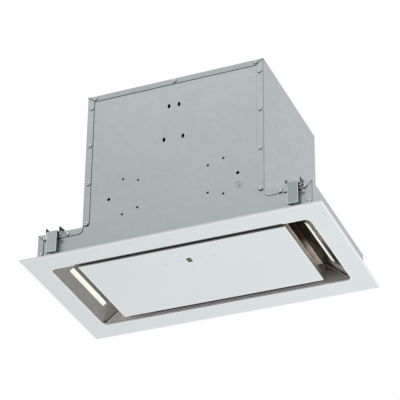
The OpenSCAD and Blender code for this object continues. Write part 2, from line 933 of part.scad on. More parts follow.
// Box that joins the blower's mouth to the round outlet
module outlet_plenum() color("slategray") {
    back = scroll_y + scroll_r + seat_gap + housing_t;
    z1 = box_top - sheet_t;
    difference() {
        block([-plenum_side, -plenum_side, plenum_z], [plenum_side, back, z1]);
        block([-plenum_side + housing_t, -plenum_side + housing_t, plenum_z + housing_t],
              [plenum_side - housing_t, back - housing_t, z1 - housing_t]);
        block([-housing_x + housing_t, back - outlet_w, plenum_z - over],
              [housing_x - housing_t, scroll_y + scroll_r - housing_t, plenum_z + housing_t + over]);
        translate([0, 0, z1 - housing_t - over])
            cylinder(r = spigot_bore, h = housing_t + 2 * over);
        at_spigot_screws() translate([0, 0, z1 - housing_t - over])
            cylinder(r = spigot_screw_r, h = housing_t + 2 * over);
    }
}

module fan_wheel() color("dimgray")
    translate([0, 0, fan_z]) rotate([0, 90, 0])
        difference() {
            union() {
                cylinder(r = hub_r, h = hub_l, center = true);
                cylinder(r = fan_r - blade_t, h = disc_t, center = true);
                for (s = [-1, 1])
                    translate([0, 0, s * (fan_l - wheel_ring) / 2])
                        difference() {
                            cylinder(r = fan_r, h = wheel_ring, center = true);
                            cylinder(r = fan_r - blade_d, h = wheel_ring + over, center = true);
                        }
                for (i = [0 : blade_count - 1])
                    rotate(i * 360 / blade_count)
                        translate([fan_r - blade_d / 2 - blade_t, 0, 0]) rotate(blade_turn)
                            cube([blade_d - blade_t, blade_t, fan_l - wheel_ring], center = true);
            }
            cylinder(r = shaft_r, h = fan_l, center = true);
        }

module fan_shaft() color("gainsboro")
    rod_x(shaft_r, -hub_l / 2 - shaft_tail, motor_x + motor_l + shaft_tail, 0, fan_z);

// Motor with end bells and a bore for the shaft
module motor() color("gray")
    translate([motor_x, 0, fan_z]) rotate([0, 90, 0])
        difference() {
            union() {
                cylinder(r = motor_r, h = motor_l);
                translate([0, 0, motor_l]) cylinder(r = bearing_r + shaft_r, h = shaft_r);
            }
            translate([0, 0, -over]) cylinder(r = shaft_r + fit_gap, h = motor_l + shaft_r + 2 * over);
            for (s = [0, 1])
                translate([0, 0, s * (motor_l - leg_w)])
                    difference() {
                        cylinder(r = motor_r + over, h = leg_w);
                        cylinder(r = motor_r - leg_t / 2, h = leg_w);
                    }
        }

// Plate on three legs, which stand on a ring round the blower's right inlet
module motor_bracket() color("lightgray")
    translate([housing_x, 0, fan_z]) rotate([0, 90, 0])
        difference() {
            union() {
                difference() {
                    cylinder(r = leg_r + leg_t, h = plate_t);
                    translate([0, 0, -over]) cylinder(r = inlet_r + housing_t + seat_gap,
                                                      h = plate_t + 2 * over);
                }
                translate([0, 0, motor_x - housing_x - plate_t])
                    cylinder(r = motor_r - leg_t, h = plate_t);
                for (a = [0 : 2])
                    rotate(a * 120 + 60) {
                        translate([leg_r, -leg_w / 2, 0])
                            cube([leg_t, leg_w, motor_x - housing_x]);
                        translate([motor_r / 2, -leg_w / 2, motor_x - housing_x - plate_t])
                            cube([leg_r + leg_t - motor_r / 2, leg_w, plate_t]);
                    }
            }
            translate([0, 0, -over]) cylinder(r = bearing_r, h = motor_x - housing_x + 2 * over);
        }

// Upright capacitor beside the left wall, with a stud into the wall
module run_capacitor() color("whitesmoke") {
    x = -box_x + sheet_t + cap_lug_l + cap_r;
    y = cap_in - face_y;
    translate([x, y, cap_z]) cylinder(r = cap_r, h = cap_l);
    rod_x(cap_lug_r, -box_x + sheet_t, x, y, cap_z + cap_l / 2);
}

// Exhaust

module exhaust_spigot() color("dimgray")
    difference() {
        translate([0, 0, box_top])
            union() {
                difference() {
                    union() {
                        cylinder(r = flange_r, h = flange_t, $fn = 96);
                        cylinder(r = spigot_r, h = spigot_h, $fn = 96);
                    }
                    translate([0, 0, -over])
                        cylinder(r = spigot_bore, h = spigot_h + 2 * over, $fn = 96);
                }
                translate([0, 0, flap_z - box_top - flap_t / 2 - seat_gap - seat_t])
                    difference() {
                        cylinder(r = spigot_bore + spigot_t / 2, h = seat_t);
                        translate([0, 0, -over])
                            cylinder(r = spigot_bore - seat_w, h = seat_t + 2 * over);
                    }
            }
        rod_x(flap_pin_r, -spigot_r - over, spigot_r + over, 0, flap_z);
        at_spigot_screws() translate([0, 0, box_top - over])
            cylinder(r = spigot_screw_r, h = flange_t + 2 * over);
    }

module spigot_screws() color("gainsboro")
    at_spigot_screws() translate([0, 0, box_top + flange_t]) rotate([-90, 0, 0]) pan_screw();

module flap_pin() color("gainsboro")
    rod_x(flap_pin_r, -spigot_r + pin_inset, spigot_r - pin_inset, 0, flap_z);

// Half disc on two knuckles round the pin, lying on the -Y side
module flap(first) {
    difference() {
        union() {
            intersection() {
                translate([0, 0, flap_z - flap_t / 2])
                    cylinder(r = spigot_bore - flap_gap, h = flap_t, $fn = 96);
                block([-spigot_r, -spigot_r, flap_z - over], [spigot_r, -flap_edge, flap_z + over]);
            }
            for (s = [-1, 1]) {
                x0 = min(s * first, s * (first + knuckle_l));
                rod_x(flap_knuckle_r, x0, x0 + knuckle_l, 0, flap_z);
                block([x0, -flap_edge - flap_t, flap_z - flap_t / 2],
                      [x0 + knuckle_l, 0, flap_z + flap_t / 2]);
            }
        }
        rod_x(flap_pin_r + fit_gap, -spigot_r, spigot_r, 0, flap_z);
    }
}

module flap_front() color("gray") flap(outer_knuckle);

module flap_rear() color("gray") mirror([0, 1, 0]) flap(inner_knuckle);

// Electrics

control_x = -box_x + sheet_t;

module control_box() color("gainsboro")
    difference() {
        block([control_x, -control_w / 2, control_z],
              [control_x + control_d, control_w / 2, control_z + control_h]);
        block([control_x + control_wall, -control_w / 2 + control_wall, control_z + control_wall],
              [control_x + control_d + over, control_w / 2 - control_wall,
               control_z + control_h - control_wall]);
    }

module control_lid() color("white")
    block([control_x + control_d, -control_w / 2, control_z],
          [control_x + control_d + control_wall, control_w / 2, control_z + control_h]);

// Circuit board on four posts, with two relays
module control_board() color("darkgreen") {
    x = control_x + pcb_in;
    w = control_w / 2 - 2 * control_wall;
    z0 = control_z + 2 * control_wall;
    z1 = control_z + control_h - 2 * control_wall;
    block([x, -w, z0], [x + pcb_t, w, z1]);
    for (sy = [-1, 1], z = [z0 + control_wall, z1 - 2 * control_wall])
        translate([control_x + control_wall, sy * (w - control_wall) - control_wall / 2, z])
            cube([pcb_in - control_wall, control_wall, control_wall]);
    for (s = [-1, 1])
        translate([x + pcb_t, s * w / 2 - relay[1] / 2, (z0 + z1) / 2 - relay[2] / 2])
            cube(relay);
}

module led_driver() color("whitesmoke")
    translate([-skirt_x + sheet_t, -driver_size[1] / 2, step_under - driver_size[2]])
        cube(driver_size);

// Cable gland through the top sheet, with its lock nut inside
module mains_gland() color("dimgray")
    translate([gland_x, gland_y, 0]) {
        difference() {
            union() {
                translate([0, 0, box_top]) cylinder(r = gland_r, h = gland_h);
                translate([0, 0, box_top]) cylinder(r = gland_hex_r, h = gland_hex_h, $fn = 6);
                translate([0, 0, box_top - sheet_t - nut_h - sheet_t])
                    cylinder(r = gland_r - seat_gap, h = nut_h + 2 * sheet_t);
            }
            translate([0, 0, box_top - sheet_t - nut_h - sheet_t - over])
                cylinder(r = gland_bore, h = gland_h + nut_h + 2 * sheet_t + 2 * over);
        }
        translate([0, 0, box_top - sheet_t - nut_h])
            difference() {
                cylinder(r = gland_hex_r, h = nut_h, $fn = 6);
                translate([0, 0, -over])
                    cylinder(r = gland_r - seat_gap + fit_gap, h = nut_h + 2 * over);
            }
    }

// Mounting clips, drawn for the front right corner

pivot_at = -face_y - clip_pivot_out;

// Arm beside the clip's upper fold, which reaches back over the shoulder, at side s
module barb(s) {
    edge = clip_w / 2 + barb_out;
    x0 = min(s * edge, s * (edge - clip_t));
    foot = clip_top - clip_t;
    along_x(x0, x0 + clip_t)
        polygon([[-face_y - barb_front, foot], [-face_y - barb_root, foot],
                 [-face_y - barb_root, skirt_top + barb_clear],
                 [-face_y + barb_reach, skirt_top + barb_clear],
                 [-face_y + barb_reach, foot + barb_h + barb_rise],
                 [-face_y - barb_front, foot + barb_h]]);
}

// Side of the clip's channel at side s, narrower at its foot so that the clip can swing in
module clip_cheek(s) {
    half = clip_w / 2;
    front = -face_y - clip_reach;
    x0 = min(s * half, s * (half - clip_cheek_t));
    along_x(x0, x0 + clip_cheek_t)
        polygon([[front, clip_bottom], [front + clip_lip, clip_bottom],
                 [front + clip_hook, clip_top], [front, clip_top]]);
}

module clip() color("silver")
    translate([clip_x, 0, 0]) {
        front = -face_y - clip_reach;
        half = clip_w / 2;
        block([-half, front, clip_bottom], [half, front + clip_t, clip_top]);
        block([-half, front, clip_bottom], [half, front + clip_lip, clip_bottom + clip_t]);
        block([-half, front, clip_top - clip_t], [half, front + clip_hook, clip_top]);
        block([-half - barb_out, -face_y - barb_front, clip_top - clip_t],
              [half + barb_out, -face_y - barb_root, clip_top]);
        for (s = [-1, 1]) barb(s);
        difference() {
            for (s = [-1, 1]) {
                x0 = min(s * clip_lug_u, s * (clip_lug_u + clip_lug_t));
                clip_cheek(s);
                rod_x(clip_lug_r, x0, x0 + clip_lug_t, pivot_at, clip_pivot_z);
                block([x0, front, clip_pivot_z - clip_lug_r],
                      [x0 + clip_lug_t, pivot_at, clip_pivot_z + clip_lug_r]);
            }
            rod_x(clip_pin_r + fit_gap, -clip_w, clip_w, pivot_at, clip_pivot_z);
        }
    }

// Foot with two ears, welded to the casing behind the clip
module clip_bracket() {
    translate([clip_x, 0, 0]) {
        block([-clip_base_w / 2, -face_y - clip_base_t, clip_pivot_z - clip_base_h / 2],
              [clip_base_w / 2, -face_y, clip_pivot_z + clip_base_h / 2]);
        for (s = [-1, 1]) {
            x0 = min(s * clip_ear_u, s * (clip_ear_u + clip_ear_t));
            difference() {
                union() {
                    rod_x(clip_lug_r, x0, x0 + clip_ear_t, pivot_at, clip_pivot_z);
                    block([x0, pivot_at, clip_pivot_z - clip_lug_r],
                          [x0 + clip_ear_t, -face_y, clip_pivot_z + clip_lug_r]);
                }
                rod_x(clip_pin_r, -clip_w, clip_w, pivot_at, clip_pivot_z);
            }
        }
    }
}

module clip_brackets() color("gray") both_sides() front_and_rear() clip_bracket();

module clip_pins() color("gainsboro")
    both_sides() front_and_rear() {
        reach = clip_w / 2 + clip_pin_past;
        rod_x(clip_pin_r, clip_x - reach, clip_x + reach, pivot_at, clip_pivot_z);
    }

// Torsion spring: its coil on the pin, one leg on the clip and one towards the casing
module clip_spring() color("dimgray")
    translate([clip_x, 0, 0]) {
        half = clip_ear_u - seat_gap;
        front = -face_y - clip_reach + clip_t;
        difference() {
            union() {
                rod_x(coil_r, -half, half, pivot_at, clip_pivot_z);
                block([-half, front, clip_pivot_z + coil_r - 2 * spring_leg],
                      [-half + spring_leg, pivot_at, clip_pivot_z + coil_r - spring_leg]);
                block([-half, front, clip_pivot_z - spring_leg_l],
                      [-half + spring_leg, front + spring_leg, clip_pivot_z + coil_r - spring_leg]);
                block([half - spring_leg, pivot_at + coil_r - spring_leg,
                       clip_pivot_z - spring_foot_l],
                      [half, pivot_at + coil_r, clip_pivot_z]);
            }
            rod_x(clip_pin_r + coil_gap, -clip_w, clip_w, pivot_at, clip_pivot_z);
        }
    }

module clip_front_right() clip();
module clip_front_left() mirror([1, 0, 0]) clip();
module clip_rear_right() mirror([0, 1, 0]) clip();
module clip_rear_left() mirror([1, 0, 0]) mirror([0, 1, 0]) clip();
module clip_spring_front_right() clip_spring();
module clip_spring_front_left() mirror([1, 0, 0]) clip_spring();
module clip_spring_rear_right() mirror([0, 1, 0]) clip_spring();
module clip_spring_rear_left() mirror([1, 0, 0]) mirror([0, 1, 0]) clip_spring();

glass_frame();
frame_backing();
funnel_wall_front();
funnel_wall_rear();
light_plate_left();
light_plate_right();
led_lens_left();
led_lens_right();
led_board_left();
led_board_right();
front_panel();
rear_panel();
side_panel_left();
side_panel_right();
top_panel();
casing_screws_front();
casing_screws_rear();
panel_glass();
panel_tray();
display_window();
touch_rings();
touch_board();
panel_hinge_arms();
panel_strikers();
hinge_brackets();
hinge_pins();
catch_housings();
catch_magnets();
filter_frame();
filter_mesh();
filter_latch();
blower_half_left();
blower_half_right();
outlet_plenum();
fan_wheel();
fan_shaft();
motor();
motor_bracket();
run_capacitor();
exhaust_spigot();
spigot_screws();
flap_front();
flap_rear();
flap_pin();
control_box();
control_lid();
control_board();
led_driver();
mains_gland();
clip_brackets();
clip_pins();
clip_front_left();
clip_front_right();
clip_rear_left();
clip_rear_right();
clip_spring_front_left();
clip_spring_front_right();
clip_spring_rear_left();
clip_spring_rear_right();
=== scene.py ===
import json
import math
import bmesh
import bpy
from mathutils import Matrix, Vector


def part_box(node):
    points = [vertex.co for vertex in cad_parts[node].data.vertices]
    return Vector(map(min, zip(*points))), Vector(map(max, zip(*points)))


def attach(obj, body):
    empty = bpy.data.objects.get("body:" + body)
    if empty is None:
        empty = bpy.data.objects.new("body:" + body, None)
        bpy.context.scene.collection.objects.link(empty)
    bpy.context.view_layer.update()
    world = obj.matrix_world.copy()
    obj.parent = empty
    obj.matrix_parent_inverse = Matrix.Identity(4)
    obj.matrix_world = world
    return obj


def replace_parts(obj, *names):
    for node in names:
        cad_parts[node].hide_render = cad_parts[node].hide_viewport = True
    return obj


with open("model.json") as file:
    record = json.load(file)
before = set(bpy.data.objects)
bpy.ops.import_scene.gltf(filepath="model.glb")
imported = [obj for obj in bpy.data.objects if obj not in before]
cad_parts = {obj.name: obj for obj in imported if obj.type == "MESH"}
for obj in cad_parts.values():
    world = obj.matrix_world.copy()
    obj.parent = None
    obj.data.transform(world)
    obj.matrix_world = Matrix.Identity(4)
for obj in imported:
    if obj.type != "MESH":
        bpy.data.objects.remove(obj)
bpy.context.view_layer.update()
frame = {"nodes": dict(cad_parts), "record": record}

NODES = frame["nodes"]

# New pieces are drawn in millimetres. Materials, lights and the camera are in metres.
MM = 0.001
SIDES = (-1.0, 1.0)

# Sloping plates of the funnel: x of the foot and the top, z of the foot, and the rise
SLOPE_FOOT, SLOPE_TOP, SLOPE_LOW, SLOPE_RISE = 225.5, 179.0, 4.0, 36.0
SLOPE_ALONG = Vector((-0.7907, 0.0, 0.6122))
SLOPE_OUT = Vector((-0.6122, 0.0, -0.7907))
# Half the distance between the funnel's long walls, and from the middle to the bare sheet
WALL_Y, SHEET_Y = 105.95, 127.0


# Materials

# A face looks along an axis where its normal has more than this along it
FACING = 0.7
# Most of what a noise texture gives lies between these
NOISE = (0.3, 0.7)
# Centre of each clip, and x from which the painted light beside a clip begins
CLIP_X = 0.2096
CLIP_SIDES = (-0.2110, 0.2072)


class Paint:
    """A Principled material with helpers for its node tree."""

    def __init__(self, name, color, rough=0.5, metal=0.0, **sockets):
        self.mat = bpy.data.materials.new(name)
        self.mat.use_nodes = True
        self.tree = self.mat.node_tree
        self.shader = self.tree.nodes["Principled BSDF"]
        self.color = color
        self.shader.inputs["Base Color"].default_value = (*color, 1.0)
        self.shader.inputs["Roughness"].default_value = rough
        self.shader.inputs["Metallic"].default_value = metal
        for key, value in sockets.items():
            self.shader.inputs[key.replace("_", " ")].default_value = value
        self.coords = None
        self.bump_in = None

    def own(self, factor):
        """The material's own colour, lighter or darker."""
        return tuple(min(1.0, factor * c) for c in self.color)

    def add(self, kind, **values):
        node = self.tree.nodes.new(kind)
        for key, value in values.items():
            setattr(node, key, value)
        return node

    def link(self, a, b):
        self.tree.links.new(a, b)

    def feed(self, value, socket):
        """Gives a socket a number, a colour or another socket's output."""
        if isinstance(value, (int, float)):
            socket.default_value = value
        elif isinstance(value, tuple):
            socket.default_value = (*value[:3], 1.0)
        else:
            self.link(value, socket)

    def place(self, scale=(1, 1, 1), turn=(0, 0, 0)):
        """Object coordinates, scaled and turned."""
        if self.coords is None:
            self.coords = self.add("ShaderNodeTexCoord").outputs["Object"]
        m = self.add("ShaderNodeMapping")
        m.inputs["Scale"].default_value = scale
        m.inputs["Rotation"].default_value = turn
        self.link(self.coords, m.inputs["Vector"])
        return m.outputs["Vector"]

    def noise(self, scale, detail=3.0, rough=0.55, stretch=(1, 1, 1)):
        n = self.add("ShaderNodeTexNoise")
        n.inputs["Scale"].default_value = scale
        n.inputs["Detail"].default_value = detail
        n.inputs["Roughness"].default_value = rough
        self.link(self.place(stretch), n.inputs["Vector"])
        return n.outputs["Fac"]

    def cells(self, scale, out):
        n = self.add("ShaderNodeTexVoronoi")
        n.inputs["Scale"].default_value = scale
        self.link(self.place(), n.inputs["Vector"])
        return n.outputs[out]

    def ramp(self, fac, low, high, a=0.0, b=1.0):
        """Maps fac from low..high to a..b."""
        n = self.add("ShaderNodeMapRange")
        n.inputs["From Min"].default_value = low
        n.inputs["From Max"].default_value = high
        n.inputs["To Min"].default_value = a
        n.inputs["To Max"].default_value = b
        self.link(fac, n.inputs["Value"])
        return n.outputs["Result"]

    def fade(self, fac, low, high, least=0.0):
        """1 up to low, then down to the least value at high."""
        return self.ramp(fac, low, high, 1.0, least)

    def mix(self, fac, a, b):
        """Colour between a and b. Each is a colour or a socket."""
        n = self.add("ShaderNodeMix", data_type="RGBA")
        for value, key in ((fac, "Factor"), (a, "A"), (b, "B")):
            self.feed(value, n.inputs[key])
        return n.outputs["Result"]

    def maths(self, how, a, b=0.0):
        n = self.add("ShaderNodeMath", operation=how)
        self.feed(a, n.inputs[0])
        self.feed(b, n.inputs[1])
        return n.outputs["Value"]

    def chain(self, how, first, *others):
        for other in others:
            first = self.maths(how, first, other)
        return first

    def times(self, *masks):
        """1 where all the masks are."""
        return self.chain("MULTIPLY", *masks)

    def most(self, *masks):
        """1 where any of the masks is."""
        return self.chain("MAXIMUM", *masks)

    def above(self, a, limit):
        return self.maths("GREATER_THAN", a, limit)

    def below(self, a, limit):
        return self.maths("LESS_THAN", a, limit)

    def part(self, vector, letter, unsigned):
        split = self.add("ShaderNodeSeparateXYZ")
        self.link(vector, split.inputs["Vector"])
        value = split.outputs[letter]
        return self.maths("ABSOLUTE", value) if unsigned else value

    def at(self, letter, unsigned=False):
        """One of the object coordinates, in metres."""
        return self.part(self.place(), letter, unsigned)

    def normal(self, letter, unsigned=False):
        """One axis of the true normal."""
        source = self.add("ShaderNodeNewGeometry").outputs["True Normal"]
        return self.part(source, letter, unsigned)

    def base(self, socket):
        self.link(socket, self.shader.inputs["Base Color"])

    def rough(self, socket):
        self.link(socket, self.shader.inputs["Roughness"])

    def bump(self, height, depth, strength=1.0):
        n = self.add("ShaderNodeBump")
        n.inputs["Distance"].default_value = depth
        n.inputs["Strength"].default_value = strength
        self.link(height, n.inputs["Height"])
        if self.bump_in is not None:
            self.link(self.bump_in, n.inputs["Normal"])
        self.bump_in = n.outputs["Normal"]
        self.link(self.bump_in, self.shader.inputs["Normal"])


# Painted light and shade, fitted to the photograph: shadows, highlights and shade laid into
# the colour. Each takes the paint and its plain tint.

def clip_painted_light(p, tint):
    """Painted light on the clips: their sides and the arms over the shoulder are painted black
    as shadow, their front has a painted highlight along its lower and upright edges, and the
    clips on the right of the hood get painted shade."""
    front_y, arm_z, lower_edge, edge_from_centre = 0.1367, 0.0541, (0.0158, 0.0166), 0.0084
    black, duller, brighter, strength = (0.005, 0.005, 0.006), 0.78, 1.7, 0.8
    # painted shadow: black sides, and black arms above the shoulder
    side = p.times(p.above(p.normal("X", True), FACING), p.below(p.at("Y", True), front_y))
    arm = p.above(p.at("Z"), arm_z)
    off_centre = p.maths("ABSOLUTE", p.maths("SUBTRACT", p.at("X", True), CLIP_X))
    # painted highlight along the lower and upright edges of the front
    edges = p.most(p.fade(p.at("Z"), *lower_edge), p.above(off_centre, edge_from_centre))
    edges = p.times(edges, p.above(p.normal("Y", True), FACING), strength)
    # painted shade on the clips on the right of the hood
    tint = p.mix(p.above(p.at("X"), 0.0), tint, p.own(duller))
    return p.mix(p.most(side, arm), p.mix(edges, tint, p.own(brighter)), black)


def screw_painted_shade(p, tint):
    """Painted shade in the casing screws' cross recess and round their foot."""
    foot_to_head, dark = (0.12935, 0.1296), (0.14, 0.145, 0.145)
    return p.mix(p.fade(p.at("Y", True), *foot_to_head), tint, dark)


def bend_and_clip_painted_light(p, tint):
    """Painted shade where the sheet is bent, and painted light on the right of each clip."""
    full, faded, top, duller, lighter = 0.0112, 0.0180, (0.0530, 0.0560), 0.6, 2.4
    # painted shade at the bends
    slant = p.times(p.normal("X", True), p.normal("Y", True))
    tint = p.mix(p.ramp(slant, 0.1, 0.3, 0.0, 0.5), tint, p.own(duller))
    # painted light beside each clip, lifting the shade there
    x = p.at("X")
    beside = p.most(*[p.times(p.above(x, edge), p.fade(x, edge + full, edge + faded))
                      for edge in CLIP_SIDES])
    beside = p.times(beside, p.fade(p.at("Z"), *top), p.above(p.normal("Y", True), FACING))
    return p.mix(beside, tint, p.own(lighter))


def tray_painted_light(p, tint):
    """Painted highlight on the tray flange's free edge, painted shade on its front side."""
    free_edge, bright, dark = (0.0115, 0.0140), 2.1, 0.25
    flange = p.mix(p.ramp(p.at("Z"), *free_edge), tint, p.own(bright))
    return p.mix(p.below(p.normal("Y"), -FACING), flange, p.own(dark))


def filter_painted_light(p, tint):
    """Painted light and shade on the filter's right-hand border: shade in front, light at the
    rear, and a painted shadow line on its outer side and on the front of its inner side."""
    black, brown, pale, line = ((0.03, 0.015, 0.01), (0.085, 0.045, 0.020),
                                (1.0, 0.86, 0.74), (0.05, 0.03, 0.02))
    x, y = p.at("X"), p.at("Y")
    to_brown, to_pale, line_ends = (-0.035, 0.012), (0.015, 0.055), (0.03, 0.06)
    inner_line, outer_line, right_from = (0.1670, 0.1690), (0.1758, 0.1770), 0.15
    painted_light_and_shade = p.mix(p.ramp(y, *to_brown), black, p.mix(p.ramp(y, *to_pale), brown, pale))
    inner = p.times(p.fade(x, *inner_line), p.fade(y, *line_ends, 0.1))
    painted_light_and_shade = p.mix(p.most(inner, p.ramp(x, *outer_line)), painted_light_and_shade, line)
    return p.mix(p.above(x, right_from), tint, painted_light_and_shade)


def left_slope_painted_shade(p, tint):
    """Painted shade on the left-hand slope between its lamp and the panel."""
    lamp_middle, lamp_end, darker = (-0.2040, -0.2025), (0.062, 0.070), 0.58
    upper = p.ramp(p.at("X"), *lamp_middle)
    beside = p.fade(p.at("Y", True), *lamp_end)
    return p.mix(p.times(upper, beside), tint, p.own(darker))


def right_slope_painted_light(p, tint):
    """Painted light on the right-hand slope near its lamp and, pale, at the rear of its foot,
    with a grey tone beyond the lamp.
    """
    near_lamp, outside_lamp, lighter = (0.194, 0.199), (0.207, 0.209), 1.5
    rear_from, rear_to, foot_from = (0.062, 0.076), (0.086, 0.098), (0.192, 0.204)
    grey, pale = (0.215, 0.215, 0.180), (0.56, 0.52, 0.46)
    x, y = p.at("X"), p.at("Y")
    tint = p.mix(p.ramp(x, *near_lamp), tint, p.own(lighter))
    tint = p.mix(p.ramp(x, *outside_lamp), tint, grey)
    foot = p.times(p.ramp(y, *rear_from), p.fade(y, *rear_to, 0.2), p.ramp(x, *foot_from))
    # less metal at the foot, so that the painted light there shows
    p.link(p.fade(foot, 0.0, 1.0, 0.35), p.shader.inputs["Metallic"])
    return p.mix(foot, tint, pale)


def wall_painted_shade(p, tint):
    """Painted shade on the long walls: in streaks beside the panel, where they are painted
    light low down and shaded higher up, and in their right-hand corner.
    """
    panel_end, streaks_end, corner_from = (0.172, 0.182), (-0.145, -0.125), (0.172, 0.180)
    painted_shade_depth, corner_depth, dark = (0.0050, 0.0090), (0.004, 0.030), (0.060, 0.051, 0.040)
    x, z = p.at("X"), p.at("Z")
    beside = p.fade(p.at("X", True), *panel_end)
    streaks = p.ramp(p.noise(1.0, 2.0, 0.5, (46.0, 20.0, 60.0)), 0.42, 0.56, 0.35, 1.0)
    streaks = p.most(streaks, p.ramp(x, *streaks_end))
    painted_light_and_shade = p.mix(p.ramp(z, *painted_shade_depth), p.own(1.3), p.own(0.15))
    streaked = p.mix(p.times(beside, streaks), tint, painted_light_and_shade)
    corner = p.times(p.ramp(z, *corner_depth, 0.30, 0.95), p.ramp(x, *corner_from))
    return p.mix(corner, streaked, dark)


def galvanised(name, color, along, rough, metal=0.9, contrast=0.035, shade=None):
    """Zinc coated sheet: faint spangle, rolling lines along one axis and fine scratches."""
    p = Paint(name, color, rough, metal)
    spangle = p.add("ShaderNodeSeparateColor")
    p.link(p.cells(95.0, "Color"), spangle.inputs["Color"])
    tone = p.ramp(spangle.outputs["Red"], 0.0, 1.0, 0.25, 0.75)
    cloud = p.ramp(p.noise(9.0), *NOISE, -0.22, 0.22)
    roll = p.noise(1.0, 3.0, 0.6, tuple(3.0 if axis == along else 260.0 for axis in "XYZ"))
    lines = p.ramp(roll, *NOISE, -0.18, 0.18)
    tint = p.mix(p.chain("ADD", tone, cloud, lines), p.own(1.0 - contrast),
                 p.own(1.0 + contrast))
    p.base(tint if shade is None else shade(p, tint))
    gloss = p.ramp(spangle.outputs["Green"], 0.0, 1.0, rough - 0.02, rough + 0.02)
    scratches = p.ramp(p.noise(160.0, 4.0), *NOISE, -0.03, 0.03)
    p.rough(p.maths("ADD", gloss, scratches))
    p.bump(roll, 0.00004, 0.5)
    p.bump(p.noise(1400.0, 2.0), 0.00002, 0.5)
    return p.mat


def brushed(name, color, along, rough, metal=1.0, contrast=0.16, shade=None):
    """Steel brushed along the given axes: long streaks in tone, gloss and height."""
    p = Paint(name, color, rough, metal)
    fine = p.noise(1.0, 4.0, 0.65, tuple(5.0 if axis in along else 900.0 for axis in "XYZ"))
    broad = p.noise(1.0, 2.0, 0.5, tuple(1.5 if axis in along else 70.0 for axis in "XYZ"))
    fac = p.maths("ADD", p.ramp(fine, *NOISE, 0.0, 0.75), p.ramp(broad, *NOISE, -0.1, 0.3))
    tint = p.mix(fac, p.own(1.0 - contrast), p.own(1.0 + contrast))
    p.base(tint if shade is None else shade(p, tint))
    p.rough(p.ramp(fine, 0.25, 0.75, rough - 0.07, rough + 0.09))
    p.bump(fine, 0.00004, 0.6)
    return p.mat


def box_gap(p, half_x, half_y, radius):
    """Distance from the outline of a rounded rectangle about the origin."""
    q = [p.maths("SUBTRACT", p.at(letter, True), half - radius)
         for letter, half in (("X", half_x), ("Y", half_y))]
    out = [p.maths("MAXIMUM", v, 0.0) for v in q]
    corner = p.maths("SQRT", p.maths("ADD", *[p.maths("MULTIPLY", v, v) for v in out]))
    inner = p.maths("MINIMUM", p.maths("MAXIMUM", *q), 0.0)
    return p.maths("ABSOLUTE", p.maths("SUBTRACT", p.maths("ADD", corner, inner), radius))


def back_painted_glass(name, rims, panel=False):
    """White enamel behind clear glass, ground edges with a painted highlight, and uneven
    gloss.

    rims are the outlines with a painted highlight, each as half sizes and corner radius. The
    panel's right-hand and front edges get painted shade, for the dark steel seen in them. The
    frame has a painted dark margin along the front of its opening, for the dark slot seen
    through the clear glass.
    """
    rim, edge_depth = (0.0015, 0.0020), (0.0032, 0.0054)
    margin_front, margin_rear, margin_half = (-0.1085, -0.1080), -0.100, 0.181
    p = Paint(name, (0.76, 0.80, 0.81), 0.06, Coat_Weight=0.6, Coat_Roughness=0.03, IOR=1.5)
    cloud = p.ramp(p.noise(6.0), *NOISE)
    face = p.mix(cloud, (0.760, 0.805, 0.818), (0.780, 0.825, 0.838))
    streak = p.noise(1.0, 3.0, 0.6, (30.0, 30.0, 900.0))
    edge = p.mix(p.ramp(streak, *NOISE), (0.93, 0.95, 0.955), (0.97, 0.99, 0.995))
    # painted shade on the panel's right-hand and front edges
    if panel:
        edge = p.mix(p.above(p.normal("X"), FACING), edge, (0.46, 0.45, 0.42))
        front = p.times(p.below(p.normal("Y"), -FACING), p.ramp(p.at("Z"), *edge_depth))
        edge = p.mix(front, edge, (0.11, 0.11, 0.10))
    # the ground edges are lighter, and a painted highlight runs along the rims
    gap = p.chain("MINIMUM", *[box_gap(p, *outline) for outline in rims])
    upright = p.below(p.normal("Z", True), 0.6)
    bright = p.most(upright, p.fade(gap, *rim))
    shade = p.mix(bright, face, edge)
    # painted dark margin along the front of the opening
    if not panel:
        y = p.at("Y")
        margin = p.times(p.ramp(y, *margin_front), p.below(y, margin_rear),
                         p.below(p.at("X", True), margin_half))
        shade = p.mix(margin, shade, (0.10, 0.10, 0.095))
    p.base(shade)
    smear = p.ramp(p.noise(35.0, 6.0, 0.7), 0.45, 0.75, 0.04, 0.16)
    p.rough(p.maths("ADD", smear, p.maths("MULTIPLY", bright, 0.12)))
    p.bump(p.noise(14.0, 2.0), 0.00006, 0.25)
    return p.mat


def moulded(name, color, rough, grain=900.0, depth=0.00003, metal=0.0, shade=0.86, vary=0.08):
    """Moulded or painted finish: cloudy shade, fine grain and uneven gloss."""
    p = Paint(name, color, rough, metal)
    p.base(p.mix(p.ramp(p.noise(22.0, 4.0), 0.35, 0.65), p.own(shade), color))
    p.rough(p.ramp(p.noise(60.0, 5.0), *NOISE, rough - vary, rough + vary))
    p.bump(p.noise(grain, 2.0), depth)
    return p.mat


def diffuser(name):
    """Milky lens, lit from behind by a row of chips."""
    p = Paint(name, (0.90, 0.93, 0.89), 0.35, IOR=1.49)
    cloud = p.ramp(p.noise(40.0), *NOISE)
    p.base(p.mix(cloud, (0.30, 0.33, 0.29), (0.36, 0.38, 0.34)))
    glow = p.mix(cloud, (0.93, 0.97, 0.86), (1.0, 1.0, 0.93))
    p.link(glow, p.shader.inputs["Emission Color"])
    p.shader.inputs["Emission Strength"].default_value = 0.62
    p.bump(p.noise(1200.0, 2.0), 0.00003, 0.6)
    return p.mat


